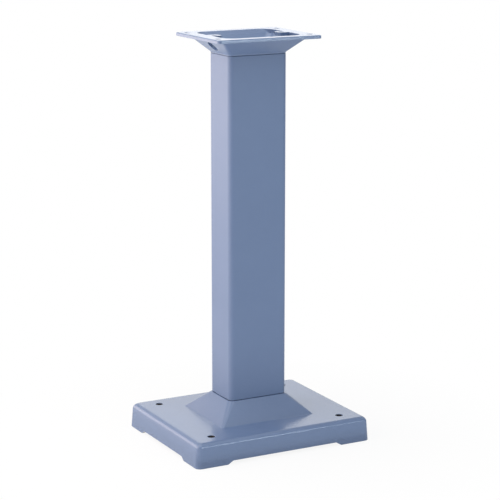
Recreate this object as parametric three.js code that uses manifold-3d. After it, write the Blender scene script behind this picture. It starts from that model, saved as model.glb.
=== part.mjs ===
// Bench grinder stand: a hollow cast base with a tapered riser, a rectangular steel column and
// a flared, open-topped cast head, clamped together by four tie rods that run inside the column.
// Millimetres, +Z up, X across the front, Y from front to back, origin on the floor under the middle.

import * as THREE from 'three';
import { mergeVertices } from 'three/addons/utils/BufferGeometryUtils.js';
import Module from 'manifold-3d';

const wasm = await Module();
wasm.setup();

// Whole stand
const overallHeight = 830;
const seatGap = 0.3;
const cutOverrun = 2;

// Column: rectangular tube
const columnLength = 130;
const columnDepth = 89;
const columnCornerRadius = 10;
const columnWall = 3;

// Base: hollow tray that stands on four corner feet
const baseLength = 396;
const baseDepth = 322;
const baseHeight = 50;
const baseCornerRadius = 12;
const baseEdgeRadius = 11;
const skirtDraft = 4;
const skirtWall = 8;
const deckThickness = 8;
const footLengthX = 68;
const footLengthY = 61;
const reliefHeight = 7;
const reliefEndRun = 12;
const floorHoleDiameter = 15;
const floorHoleInsetX = 51;
const floorHoleInsetY = 40;
const floorBossDiameter = 38;
const floorBossDepth = 4;

// Riser: tapered hollow rise from the base deck to the column seat
const riserHeight = 39;
const riserSpreadX = 38;
const riserSpreadY = 41;
const riserLedge = 2;
const riserWall = 8;
const riserFootFillet = 8;
const riserFootRadius = 4;
const riserEdgeRadius = 2;

// Head: flared funnel under a rectangular flange with an open mouth
const collarHeight = 2;
const seamChamfer = 1;
const flareRise = 29;
const flareSpread = 29;
const flareTopRadius = 5;
const flareWall = 6;
const flangeLength = 230;
const flangeDepth = 192;
const flangeThickness = 7;
const flangeCornerRadius = 7;
const flangeEdgeRadius = 2;
const flangeLowerEdgeRadius = 1;
const mouthLength = 170;
const mouthDepth = 150;
const mouthCornerRadius = 26;
const lugReach = 21;
const lugWidth = 26;
const lugCornerRadius = 6;
const mountHoleDiameter = 10.5;
const mountHoleInsetX = 13;
const mountHoleInsetY = 28;
const lugHoleInset = 11;
const cordHoleDiameter = 25;
const cordHoleRise = 13.5;

// Webs that close the riser and the funnel and carry the tie rods
const webThickness = 8;
const spigotHeight = 6;
const spigotClearance = 0.5;
const webOpeningLength = 58;
const webOpeningDepth = 32;
const webOpeningRadius = 8;

// Tie rods and their nuts and washers
const rodDiameter = 10;
const rodHoleClearance = 1;
const rodInsetX = 16;
const rodInsetY = 16;
const rodEndStand = 2;
const nutWidth = 17;
const nutHeight = 8;
const washerDiameter = 20;
const washerThickness = 2;
const lockWasherDiameter = 17;
const lockWasherThickness = 2.4;
const lockWasherSlit = 2;
const threadClearance = 0.3;

// Facets
const cornerSteps = 4;
const filletSteps = 5;
const roundSides = 24;
const smallestRadius = 0.5;

// Heights worked out from the sizes above
const baseSeatZ = baseHeight + riserHeight;
const headHeight = collarHeight + flareRise + flangeThickness;
const headSeatZ = overallHeight - headHeight;
const flangeUndersideZ = overallHeight - flangeThickness;
const headFloorZ = headSeatZ + webThickness;
const baseWebUndersideZ = baseSeatZ - webThickness;

// Plan sizes worked out from the sizes above
const seatLength = columnLength + 2 * riserLedge;
const seatDepth = columnDepth + 2 * riserLedge;
const seatRadius = columnCornerRadius + riserLedge;
const riserLength = seatLength + 2 * riserSpreadX;
const riserDepth = seatDepth + 2 * riserSpreadY;
const boreLength = columnLength - 2 * columnWall;
const boreDepth = columnDepth - 2 * columnWall;
const boreRadius = Math.max(columnCornerRadius - columnWall, smallestRadius);
const rodX = boreLength / 2 - rodInsetX;
const rodY = boreDepth / 2 - rodInsetY;
const threadHole = rodDiameter + 2 * threadClearance;
const floorHoleX = baseLength / 2 - floorHoleInsetX;
const floorHoleY = baseDepth / 2 - floorHoleInsetY;

const castPaint = new THREE.MeshStandardMaterial({ color: 0x7484a6, roughness: 0.45, metalness: 0.0 });
const tubePaint = new THREE.MeshStandardMaterial({ color: 0x7484a6, roughness: 0.35, metalness: 0.0 });
const zincSteel = new THREE.MeshStandardMaterial({ color: 0xb4b6b8, roughness: 0.35, metalness: 1.0 });

// Outline of a rectangle with round corners, centred on the origin
function roundedRectangle(length, depth, radius) {
  const x = length / 2 - radius;
  const y = depth / 2 - radius;
  const outline = new THREE.Shape();
  outline.absarc(x, y, radius, 0, Math.PI / 2);
  outline.absarc(-x, y, radius, Math.PI / 2, Math.PI);
  outline.absarc(-x, -y, radius, Math.PI, 1.5 * Math.PI);
  outline.absarc(x, -y, radius, 1.5 * Math.PI, 2 * Math.PI);
  outline.closePath();
  return outline;
}

// One level of a loft: a rounded rectangle drawn in by an inset on every side
function level(z, length, depth, radius, inset = 0) {
  const corner = Math.max(radius - inset, smallestRadius);
  return { z, outline: roundedRectangle(length - 2 * inset, depth - 2 * inset, corner) };
}

// Closed skin through a stack of levels, which all have the same number of points
function loft(levels) {
  const rings = levels.map(({ outline }) => outline.getPoints(cornerSteps).slice(0, -1));
  const count = rings[0].length;
  const positions = [];
  rings.forEach((ring, row) => ring.forEach(({ x, y }) => positions.push(x, y, levels[row].z)));
  const faces = [];
  for (let row = 0; row < rings.length - 1; row += 1) {
    for (let i = 0; i < count; i += 1) {
      const a = row * count + i;
      const b = row * count + ((i + 1) % count);
      faces.push(a, b, b + count, a, b + count, a + count);
    }
  }
  const lastRow = (rings.length - 1) * count;
  THREE.ShapeUtils.triangulateShape(rings[0], []).forEach(([a, b, c]) => faces.push(c, b, a));
  THREE.ShapeUtils.triangulateShape(rings.at(-1), []).forEach(([a, b, c]) => {
    faces.push(lastRow + a, lastRow + b, lastRow + c);
  });
  const geometry = new THREE.BufferGeometry();
  geometry.setAttribute('position', new THREE.Float32BufferAttribute(positions, 3));
  geometry.setIndex(faces);
  return geometry;
}

function toSolid(geometry) {
  const bare = geometry.clone();
  bare.deleteAttribute('normal');
  bare.deleteAttribute('uv');
  const merged = mergeVertices(bare, 1e-4);
  const vertProperties = new Float32Array(merged.attributes.position.array);
  const triVerts = new Uint32Array(merged.index.array);
  return new wasm.Manifold(new wasm.Mesh({ numProp: 3, vertProperties, triVerts }));
}

function toGeometry(solid) {
  const mesh = solid.getMesh();
  const geometry = new THREE.BufferGeometry();
  geometry.setAttribute('position', new THREE.Float32BufferAttribute(mesh.vertProperties, 3));
  geometry.setIndex([...mesh.triVerts]);
  geometry.computeVertexNormals();
  return geometry;
}

function prism(outline, lowZ, highZ, curveSegments = cornerSteps) {
  const options = { depth: highZ - lowZ, bevelEnabled: false, curveSegments };
  return new THREE.ExtrudeGeometry(outline, options).translate(0, 0, lowZ);
}

function drill(diameter, x, y, lowZ, highZ) {
  const geometry = new THREE.CylinderGeometry(diameter / 2, diameter / 2, highZ - lowZ, roundSides);
  return toSolid(geometry.rotateX(Math.PI / 2).translate(x, y, (lowZ + highZ) / 2));
}

function circleOutline(diameter) {
  return new THREE.Shape().absarc(0, 0, diameter / 2, 0, 2 * Math.PI);
}

function ringOutline(outer, innerDiameter) {
  outer.holes.push(new THREE.Path().absarc(0, 0, innerDiameter / 2, 0, 2 * Math.PI, true));
  return outer;
}

// Calls visit once for each corner of a rectangular pattern
function atCorners(x, y, visit) {
  for (const [endName, endY] of [['front', -y], ['back', y]]) {
    for (const [sideName, sideX] of [['left', -x], ['right', x]]) {
      visit(sideX, endY, `${endName}_${sideName}`);
    }
  }
}

// Levels of a quarter-round edge that leans in from a wall to a flat top
function roundedEdge(topZ, edgeRadius, length, depth, radius, wallInset = 0) {
  const levels = [];
  for (let step = 0; step <= filletSteps; step += 1) {
    const angle = (step / filletSteps) * (Math.PI / 2);
    const inset = wallInset + edgeRadius * (1 - Math.cos(angle));
    levels.push(level(topZ - edgeRadius * (1 - Math.sin(angle)), length, depth, radius, inset));
  }
  return levels;
}

// Levels of the hollow fillet where the sloping riser leaves the flat deck
function riserFoot() {
  const slope = Math.atan2(riserHeight, (riserSpreadX + riserSpreadY) / 2);
  const reach = riserFootFillet * Math.tan(slope / 2);
  const levels = [];
  for (let step = 0; step <= filletSteps; step += 1) {
    const angle = (step / filletSteps) * slope;
    const inset = riserFootFillet * Math.sin(angle) - reach;
    const z = baseHeight + riserFootFillet * (1 - Math.cos(angle));
    levels.push(level(z, riserLength, riserDepth, riserFootRadius, inset));
  }
  return levels;
}

function baseSkin() {
  const edgeInset = skirtDraft * (1 - baseEdgeRadius / baseHeight);
  const edge = roundedEdge(baseHeight, baseEdgeRadius, baseLength, baseDepth, baseCornerRadius, edgeInset);
  const crown = roundedEdge(baseSeatZ, riserEdgeRadius, seatLength, seatDepth, seatRadius);
  return loft([level(0, baseLength, baseDepth, baseCornerRadius), ...edge, ...riserFoot(), ...crown]);
}

function baseHollow() {
  const deckUndersideZ = baseHeight - deckThickness;
  const draftAtDeck = (skirtDraft * deckUndersideZ) / baseHeight;
  const slopeX = riserSpreadX / riserHeight;
  const slopeY = riserSpreadY / riserHeight;
  const wallX = riserWall * Math.hypot(1, slopeX);
  const wallY = riserWall * Math.hypot(1, slopeY);
  const insideRiser = (z) => {
    const below = baseSeatZ - z;
    const length = seatLength + 2 * (below * slopeX - wallX);
    const depth = seatDepth + 2 * (below * slopeY - wallY);
    return level(z, length, depth, boreRadius);
  };
  return loft([
    level(-cutOverrun, baseLength, baseDepth, baseCornerRadius, skirtWall),
    level(deckUndersideZ, baseLength, baseDepth, baseCornerRadius, skirtWall + draftAtDeck),
    insideRiser(deckUndersideZ),
    insideRiser(baseWebUndersideZ),
  ]);
}

// Long notch with sloping ends that leaves a foot at each end of a skirt
function skirtRelief(sideLength, footLength, cutLength) {
  const halfAtFloor = sideLength / 2 - footLength;
  const halfAtTop = halfAtFloor - reliefEndRun;
  const halfBelow = halfAtFloor + (cutOverrun * reliefEndRun) / reliefHeight;
  const outline = new THREE.Shape();
  outline.moveTo(-halfBelow, -cutOverrun);
  outline.lineTo(halfBelow, -cutOverrun);
  outline.lineTo(halfAtTop, reliefHeight);
  outline.lineTo(-halfAtTop, reliefHeight);
  outline.closePath();
  const options = { depth: cutLength, bevelEnabled: false };
  return new THREE.ExtrudeGeometry(outline, options).translate(0, 0, -cutLength / 2).rotateX(Math.PI / 2);
}

// Plug that locates the column, with the openings for the cord and the tie rods cut through
function withRodWeb(solid, plugLowZ, plugHighZ) {
  const inset = 2 * spigotClearance;
  const radius = Math.max(boreRadius - spigotClearance, smallestRadius);
  const plug = prism(roundedRectangle(boreLength - inset, boreDepth - inset, radius), plugLowZ, plugHighZ);
  const lowZ = plugLowZ - webThickness - cutOverrun;
  const highZ = plugHighZ + webThickness + cutOverrun;
  const opening = roundedRectangle(webOpeningLength, webOpeningDepth, webOpeningRadius);
  let result = solid.add(toSolid(plug)).subtract(toSolid(prism(opening, lowZ, highZ)));
  atCorners(rodX, rodY, (x, y) => {
    result = result.subtract(drill(rodDiameter + rodHoleClearance, x, y, lowZ, highZ));
  });
  return result;
}

function baseCasting() {
  const deckUndersideZ = baseHeight - deckThickness;
  let solid = toSolid(baseSkin()).subtract(toSolid(baseHollow()));
  const frontRelief = skirtRelief(baseLength, footLengthX, baseDepth + 2 * cutOverrun);
  const sideRelief = skirtRelief(baseDepth, footLengthY, baseLength + 2 * cutOverrun);
  solid = solid.subtract(toSolid(frontRelief)).subtract(toSolid(sideRelief.rotateZ(Math.PI / 2)));
  atCorners(floorHoleX, floorHoleY, (x, y) => {
    const bossLowZ = deckUndersideZ - floorBossDepth;
    solid = solid.add(drill(floorBossDiameter, x, y, bossLowZ, deckUndersideZ + deckThickness / 2));
    solid = solid.subtract(drill(floorHoleDiameter, x, y, bossLowZ - cutOverrun, baseHeight + cutOverrun));
  });
  return toGeometry(withRodWeb(solid, baseSeatZ - webThickness / 2, baseSeatZ + spigotHeight));
}

function columnTube() {
  const outline = roundedRectangle(columnLength, columnDepth, columnCornerRadius);
  outline.holes.push(roundedRectangle(boreLength, boreDepth, boreRadius));
  return prism(outline, baseSeatZ + seatGap, headSeatZ - seatGap);
}

function headSkin() {
  const flareLength = columnLength + 2 * flareSpread;
  const flareDepth = columnDepth + 2 * flareSpread;
  const lowerEdgeZ = flangeUndersideZ + flangeLowerEdgeRadius;
  return loft([
    level(headSeatZ, columnLength, columnDepth, columnCornerRadius, seamChamfer),
    level(headSeatZ + seamChamfer, columnLength, columnDepth, columnCornerRadius),
    level(headSeatZ + collarHeight, columnLength, columnDepth, columnCornerRadius),
    level(flangeUndersideZ, flareLength, flareDepth, flareTopRadius),
    level(flangeUndersideZ, flangeLength, flangeDepth, flangeCornerRadius, flangeLowerEdgeRadius),
    level(lowerEdgeZ, flangeLength, flangeDepth, flangeCornerRadius),
    ...roundedEdge(overallHeight, flangeEdgeRadius, flangeLength, flangeDepth, flangeCornerRadius),
  ]);
}

function headHollow() {
  const slope = flareSpread / flareRise;
  const wall = flareWall * Math.hypot(1, slope);
  const insideFlare = (z) => {
    const spread = (z - headSeatZ - collarHeight) * slope - wall;
    return level(z, columnLength + 2 * spread, columnDepth + 2 * spread, columnCornerRadius);
  };
  return loft([
    insideFlare(headFloorZ),
    insideFlare(flangeUndersideZ),
    level(overallHeight, mouthLength, mouthDepth, mouthCornerRadius),
    level(overallHeight + cutOverrun, mouthLength, mouthDepth, mouthCornerRadius),
  ]);
}

// Flat ear that reaches into the mouth from the middle of a side rim
function mountLug(side) {
  const outerX = flangeLength / 2 - mountHoleInsetX;
  const innerX = mouthLength / 2 - lugReach;
  const outline = roundedRectangle(outerX - innerX, lugWidth, lugCornerRadius);
  const lug = prism(outline, flangeUndersideZ, overallHeight);
  return toSolid(lug.translate((side * (outerX + innerX)) / 2, 0, 0));
}

// Round cord hole square to the left sloping wall
function cordHole() {
  const middleX = columnLength / 2 + (cordHoleRise * flareSpread) / flareRise;
  const middleZ = headSeatZ + collarHeight + cordHoleRise;
  const length = 2 * (flareWall + cutOverrun);
  const geometry = new THREE.CylinderGeometry(cordHoleDiameter / 2, cordHoleDiameter / 2, length, roundSides);
  const lean = Math.atan2(flareRise, flareSpread);
  return toSolid(geometry.rotateX(Math.PI / 2).rotateY(lean).translate(-middleX, 0, middleZ));
}

function headCasting() {
  let solid = toSolid(headSkin()).subtract(toSolid(headHollow()));
  solid = solid.add(mountLug(-1)).add(mountLug(1)).subtract(cordHole());
  const lowZ = flangeUndersideZ - cutOverrun;
  const highZ = overallHeight + cutOverrun;
  const holeX = flangeLength / 2 - mountHoleInsetX;
  const holeY = flangeDepth / 2 - mountHoleInsetY;
  atCorners(holeX, holeY, (x, y) => {
    solid = solid.subtract(drill(mountHoleDiameter, x, y, lowZ, highZ));
  });
  const lugHoleX = mouthLength / 2 - lugReach + lugHoleInset;
  for (const x of [-lugHoleX, lugHoleX]) {
    solid = solid.subtract(drill(mountHoleDiameter, x, 0, lowZ, highZ));
  }
  return toGeometry(withRodWeb(solid, headSeatZ - spigotHeight, headSeatZ + webThickness / 2));
}

function hexNut() {
  const cornerRadius = nutWidth / Math.sqrt(3);
  const hexagon = new THREE.Shape();
  for (let corner = 0; corner < 6; corner += 1) {
    const angle = (corner * Math.PI) / 3;
    const method = corner === 0 ? 'moveTo' : 'lineTo';
    hexagon[method](cornerRadius * Math.cos(angle), cornerRadius * Math.sin(angle));
  }
  hexagon.closePath();
  const body = prism(ringOutline(hexagon, threadHole), 0, nutHeight, roundSides / 2);
  const chamferRise = (cornerRadius - nutWidth / 2) / 2;
  const chamfer = new THREE.LatheGeometry([
    new THREE.Vector2(0, 0),
    new THREE.Vector2(nutWidth / 2, 0),
    new THREE.Vector2(cornerRadius, chamferRise),
    new THREE.Vector2(cornerRadius, nutHeight - chamferRise),
    new THREE.Vector2(nutWidth / 2, nutHeight),
    new THREE.Vector2(0, nutHeight),
  ], roundSides).rotateX(Math.PI / 2);
  return toGeometry(toSolid(body).intersect(toSolid(chamfer)));
}

function flatWasher() {
  const outline = ringOutline(circleOutline(washerDiameter), threadHole);
  return prism(outline, 0, washerThickness, roundSides / 2);
}

function lockWasher() {
  const outline = ringOutline(circleOutline(lockWasherDiameter), threadHole);
  const ring = toSolid(prism(outline, 0, lockWasherThickness, roundSides / 2));
  const slitHeight = 2 * (lockWasherThickness + cutOverrun);
  const slit = new THREE.BoxGeometry(lockWasherDiameter, lockWasherSlit, slitHeight);
  return toGeometry(ring.subtract(toSolid(slit.translate(lockWasherDiameter / 2, 0, 0))));
}

function tieRod(lowZ, highZ) {
  const geometry = new THREE.CylinderGeometry(rodDiameter / 2, rodDiameter / 2, highZ - lowZ, roundSides);
  return geometry.rotateX(Math.PI / 2).translate(0, 0, (lowZ + highZ) / 2);
}

function place(group, name, geometry, material, x = 0, y = 0, z = 0) {
  const mesh = new THREE.Mesh(geometry, material);
  mesh.name = name;
  mesh.position.set(x, y, z);
  group.add(mesh);
}

// Washer, lock washer and nut stacked outwards from a web, with the rod end standing clear
const stack = [
  { name: 'washer', geometry: flatWasher(), height: washerThickness },
  { name: 'lock_washer', geometry: lockWasher(), height: lockWasherThickness },
  { name: 'nut', geometry: hexNut(), height: nutHeight },
];
const stackHeight = stack.reduce((sum, piece) => sum + piece.height + seatGap, 0);

function placeStack(group, prefix, suffix, x, y, faceZ, direction) {
  let z = faceZ;
  for (const piece of stack) {
    z += direction * seatGap;
    const lowZ = direction > 0 ? z : z - piece.height;
    place(group, `${prefix}_${piece.name}_${suffix}`, piece.geometry, zincSteel, x, y, lowZ);
    z += direction * piece.height;
  }
}

const stand = new THREE.Group();
stand.name = 'bench_grinder_stand';
place(stand, 'base_casting', baseCasting(), castPaint);
place(stand, 'column_tube', columnTube(), tubePaint);
place(stand, 'head_casting', headCasting(), castPaint);

const clamp = new THREE.Group();
const rodLowZ = baseWebUndersideZ - stackHeight - rodEndStand;
const rodHighZ = headFloorZ + stackHeight + rodEndStand;
atCorners(rodX, rodY, (x, y, suffix) => {
  place(clamp, `tie_rod_${suffix}`, tieRod(rodLowZ, rodHighZ), zincSteel, x, y);
  placeStack(clamp, 'head', suffix, x, y, headFloorZ, 1);
  placeStack(clamp, 'base', suffix, x, y, baseWebUndersideZ, -1);
});
stand.add(clamp);

export default stand;
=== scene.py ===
"""Bench grinder stand: finished castings, column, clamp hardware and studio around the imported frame."""

import math
from collections import namedtuple

import bmesh
import bpy
from bpy.props import FloatProperty, FloatVectorProperty, IntProperty, PointerProperty
from mathutils import Matrix, Vector


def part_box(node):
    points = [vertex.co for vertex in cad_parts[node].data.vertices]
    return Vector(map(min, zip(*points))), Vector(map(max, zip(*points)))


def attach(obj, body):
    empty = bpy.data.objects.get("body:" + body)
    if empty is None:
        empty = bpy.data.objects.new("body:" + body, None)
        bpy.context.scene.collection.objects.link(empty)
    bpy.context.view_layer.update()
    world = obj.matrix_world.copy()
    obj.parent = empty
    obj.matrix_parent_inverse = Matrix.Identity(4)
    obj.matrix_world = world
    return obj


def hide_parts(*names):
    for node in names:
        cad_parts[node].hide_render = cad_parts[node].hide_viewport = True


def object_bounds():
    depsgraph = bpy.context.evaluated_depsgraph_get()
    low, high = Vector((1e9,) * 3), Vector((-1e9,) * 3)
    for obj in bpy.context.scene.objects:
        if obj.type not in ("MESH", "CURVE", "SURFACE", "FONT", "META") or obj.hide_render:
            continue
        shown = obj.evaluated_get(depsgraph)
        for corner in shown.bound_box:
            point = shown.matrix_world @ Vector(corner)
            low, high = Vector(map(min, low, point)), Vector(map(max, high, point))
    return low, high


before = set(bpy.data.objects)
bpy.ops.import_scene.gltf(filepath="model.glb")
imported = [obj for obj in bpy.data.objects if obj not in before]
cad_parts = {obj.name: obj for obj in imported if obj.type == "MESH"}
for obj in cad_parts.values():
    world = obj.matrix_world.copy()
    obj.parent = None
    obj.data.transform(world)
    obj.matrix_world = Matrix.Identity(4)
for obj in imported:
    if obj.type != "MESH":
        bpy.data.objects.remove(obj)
CAD_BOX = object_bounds()

bl_info = {
    "name": "Bench grinder stand",
    "version": (1, 0, 0),
    "blender": (4, 5, 0),
    "location": "3D View > Sidebar > Stand",
    "description": "Builds a painted pedestal for a bench grinder, with its clamp hardware and studio",
    "category": "Object",
}

BODY = "root"
CAST_SLOT = "cast_paint"
TUBE_SLOT = "tube_paint"
STEEL_SLOT = "zinc_steel"
BARE = "bare_iron"
BASE_NODE = "base_casting"
COLUMN_NODE = "column_tube"
HEAD_NODE = "head_casting"

BASE_LOW, BASE_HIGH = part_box(BASE_NODE)
COLUMN_LOW, COLUMN_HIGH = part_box(COLUMN_NODE)
HEAD_LOW, HEAD_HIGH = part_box(HEAD_NODE)


def length_prop(name, description, default):
    """A size in metres that a user would change."""
    return FloatProperty(name=name, description=description, default=default, min=0.0, unit="LENGTH")


def share_prop(name, description, default):
    """A share from nothing to all."""
    return FloatProperty(
        name=name, description=description, default=default, min=0.0, max=1.0, subtype="FACTOR"
    )


def bright_prop(name, description, default):
    """A brightness, where 1 looks white."""
    return FloatProperty(name=name, description=description, default=default, min=0.0)


def angle_prop(name, description, degrees):
    """An angle, written in degrees."""
    return FloatProperty(name=name, description=description, default=math.radians(degrees), subtype="ANGLE")


def count_prop(name, description, default, least):
    """A whole number with a least value."""
    return IntProperty(name=name, description=description, default=default, min=least)


def place_prop(name, description, default):
    """A point in metres."""
    return FloatVectorProperty(name=name, description=description, default=default, size=3, unit="LENGTH")


def colour_prop(name, description, default):
    """A linear colour that a user would change."""
    return FloatVectorProperty(
        name=name, description=description, default=default, size=3, min=0.0, max=1.0, subtype="COLOR"
    )


class StandBaseSizes(bpy.types.PropertyGroup):
    """Sizes of the cast base and its riser"""

    deck_height: length_prop("Deck height", "Floor to the flat top of the base", 0.050)
    corner_radius: length_prop("Corner radius", "Plan radius of the base corners", 0.012)
    edge_radius: length_prop("Edge radius", "Round along the top edge of the skirt", 0.011)
    skirt_draft: length_prop("Skirt draft", "How far the skirt leans in up to the deck", 0.004)
    skirt_wall: length_prop("Skirt wall", "Thickness of the skirt", 0.008)
    deck_thickness: length_prop("Deck thickness", "Thickness of the flat top", 0.008)
    foot_length: length_prop("Foot length", "Length of a foot along the front", 0.068)
    foot_depth: length_prop("Foot depth", "Length of a foot along the side", 0.061)
    relief_height: length_prop("Relief height", "Rise of the skirt between its feet", 0.007)
    relief_run: length_prop("Relief run", "Length of the slope at each end of a relief", 0.012)
    hole_diameter: length_prop("Floor hole", "Diameter of a floor bolt hole", 0.015)
    hole_inset_x: length_prop("Hole inset X", "Hole centre to the end of the base", 0.051)
    hole_inset_y: length_prop("Hole inset Y", "Hole centre to the front of the base", 0.040)
    boss_diameter: length_prop("Boss diameter", "Boss round a floor bolt hole", 0.038)
    boss_depth: length_prop("Boss depth", "How far a boss stands below the deck", 0.004)
    riser_spread_x: length_prop("Riser spread X", "Slope of the riser's ends, in plan", 0.038)
    riser_spread_y: length_prop("Riser spread Y", "Slope of the riser's front and back, in plan", 0.041)
    riser_ledge: length_prop("Riser ledge", "Ledge of the riser round the column", 0.002)
    riser_wall: length_prop("Riser wall", "Thickness of the riser", 0.008)
    riser_fillet: length_prop("Riser fillet", "Hollow round where the riser meets the deck", 0.005)
    riser_corner: length_prop("Riser corner", "Plan radius of the riser's corners at the deck", 0.004)


class StandColumnSizes(bpy.types.PropertyGroup):
    """Sizes of the rectangular column"""

    corner_radius: length_prop("Corner radius", "Round of the vertical corners", 0.010)
    wall: length_prop("Wall", "Thickness of the tube", 0.003)
    end_round: length_prop("End round", "Eased outer edge at each end of the tube", 0.0014)


class StandHeadSizes(bpy.types.PropertyGroup):
    """Sizes of the flared head"""

    collar: length_prop("Collar", "Straight lip above the column", 0.002)
    flare_rise: length_prop("Flare rise", "Height of the sloping walls", 0.029)
    flare_spread: length_prop("Flare spread", "How far the sloping walls lean out", 0.029)
    flare_wall: length_prop("Flare wall", "Thickness of the sloping walls", 0.006)
    flare_corner: length_prop("Flare corner", "Plan radius of the flare's corners under the rim", 0.005)
    flange_thickness: length_prop("Flange thickness", "Thickness of the flat rim", 0.007)
    flange_corner: length_prop("Flange corner", "Plan radius of the rim's corners", 0.007)
    flange_round: length_prop("Flange round", "Round along the rim's upper edge", 0.002)
    mouth_length: length_prop("Mouth length", "Open mouth along X", 0.170)
    mouth_depth: length_prop("Mouth depth", "Open mouth along Y", 0.150)
    mouth_corner: length_prop("Mouth corner", "Plan radius of the mouth's corners", 0.026)
    lug_reach: length_prop("Lug reach", "How far a lug reaches into the mouth", 0.021)
    lug_width: length_prop("Lug width", "Width of a lug", 0.026)
    lug_corner: length_prop("Lug corner", "Plan radius of a lug's corners", 0.006)
    bolt_hole: length_prop("Bolt hole", "Diameter of a mounting hole", 0.0105)
    bolt_inset_x: length_prop("Bolt inset X", "Hole centre to the end of the rim", 0.013)
    bolt_inset_y: length_prop("Bolt inset Y", "Hole centre to the front of the rim", 0.028)
    lug_hole_inset: length_prop("Lug hole inset", "Hole centre to the inner end of a lug", 0.011)
    cord_hole: length_prop("Cord hole", "Diameter of the hole in the left sloping wall", 0.025)
    cord_rise: length_prop("Cord hole rise", "Height of the cord hole's middle on the slope", 0.0135)


class StandClampSizes(bpy.types.PropertyGroup):
    """Sizes of the webs and of the hardware that clamps the stand together"""

    web: length_prop("Web", "Thickness of the webs that carry the tie rods", 0.008)
    spigot: length_prop("Spigot", "How far a web's plug reaches into the column", 0.006)
    spigot_clearance: length_prop("Spigot clearance", "Gap between a plug and the column", 0.0005)
    opening_length: length_prop("Opening length", "Cord opening of a web along X", 0.058)
    opening_depth: length_prop("Opening depth", "Cord opening of a web along Y", 0.032)
    opening_corner: length_prop("Opening corner", "Plan radius of the cord opening", 0.008)
    hole_clearance: length_prop("Hole clearance", "How much wider a rod hole is than its rod", 0.001)
    thread_length: length_prop("Thread length", "Threaded stretch at each rod end", 0.038)
    thread_pitch: length_prop("Thread pitch", "Rise of one turn of the thread", 0.0015)
    thread_depth: length_prop("Thread depth", "Depth of the thread", 0.0008)
    thread_crest: FloatProperty(
        name="Thread crest", description="Power that shapes the thread's flanks", default=0.8, min=0.1
    )
    nut_face: share_prop("Nut face", "Share of a nut's width across flats that its end face takes", 0.97)
    nut_chamfer: angle_prop("Nut chamfer", "Slope of the chamfer at a nut's ends", 30.0)
    washer_gap: length_prop("Lock washer gap", "Open slit of a lock washer", 0.002)


class StandFinish(bpy.types.PropertyGroup):
    """Colours and gloss of the paint and the plated steel"""

    paint: colour_prop("Paint", "Blue-grey enamel", (0.141, 0.204, 0.345))
    paint_thin: colour_prop("Thin paint", "Enamel where it pulled thin over an edge", (0.240, 0.310, 0.450))
    paint_deep: colour_prop("Deep paint", "Enamel where it pooled", (0.134, 0.195, 0.333))
    # Painted shade: a dark colour laid into joints and creases where near surfaces enclose the paint; the
    # dirt in its description stands for this shade
    seam: colour_prop("Seam", "Dirt in the joints of the stand", (0.030, 0.040, 0.055))
    # How far out of a joint or crease the painted shade reaches
    joint_shade_reach: length_prop("Seam reach", "How far the dirt reaches out of a joint", 0.004)
    edge_reach: length_prop("Edge reach", "How far in from an edge the enamel runs thin", 0.003)
    cast_roughness: share_prop("Cast roughness", "Roughness of the enamel on the castings", 0.21)
    tube_roughness: share_prop("Tube roughness", "Roughness of the enamel on the column", 0.45)
    cast_grain: length_prop("Cast grain", "Depth of the lumps under the castings' enamel", 0.00014)
    tube_grain: length_prop("Tube grain", "Depth of the lumps under the column's enamel", 0.00006)
    orange_peel: length_prop("Orange peel", "Depth of the ripples in the enamel", 0.00003)
    thin_share: share_prop("Thin share", "How far the enamel pales along an edge", 0.5)
    fleck_share: share_prop("Fleck share", "How far the enamel pales in a fleck", 0.12)
    pool_swing: share_prop("Pool swing", "How much the roughness swings over pools of enamel", 0.10)
    fleck_swing: share_prop("Fleck swing", "How much the roughness swings over flecks", 0.05)
    paint_index: FloatProperty(
        name="Paint index", description="Refractive index of the enamel", default=1.5, min=1.0
    )
    # Bare oxidised iron in the drilled holes, made near-black as partly painted shade for the holes'
    # insides
    bore_iron_and_shade: colour_prop("Bare iron", "Drilled holes in the castings", (0.020, 0.022, 0.028))
    iron_rust: colour_prop("Rust", "Brown patches in the drilled holes", (0.045, 0.030, 0.022))
    iron_roughness: share_prop("Iron roughness", "Roughness of the bare iron", 0.6)
    iron_swing: share_prop("Iron swing", "How much the iron's roughness swings over its grit", 0.3)
    iron_grain: length_prop("Iron grain", "Depth of the grit on the bare iron", 0.00006)
    zinc: colour_prop("Zinc", "Bright zinc plate", (0.34, 0.35, 0.36))
    zinc_warm: colour_prop("Warm zinc", "Passivated patches of the plate", (0.36, 0.34, 0.28))
    zinc_roughness: share_prop("Zinc roughness", "Roughness of the plate", 0.34)
    patch_swing: share_prop("Patch swing", "How much the plate's roughness swings over patches", 0.25)
    grit_swing: share_prop("Grit swing", "How much the plate's roughness swings over its grit", 0.1)
    zinc_grain: length_prop("Zinc grain", "Depth of the grit on the plate", 0.00003)


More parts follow.
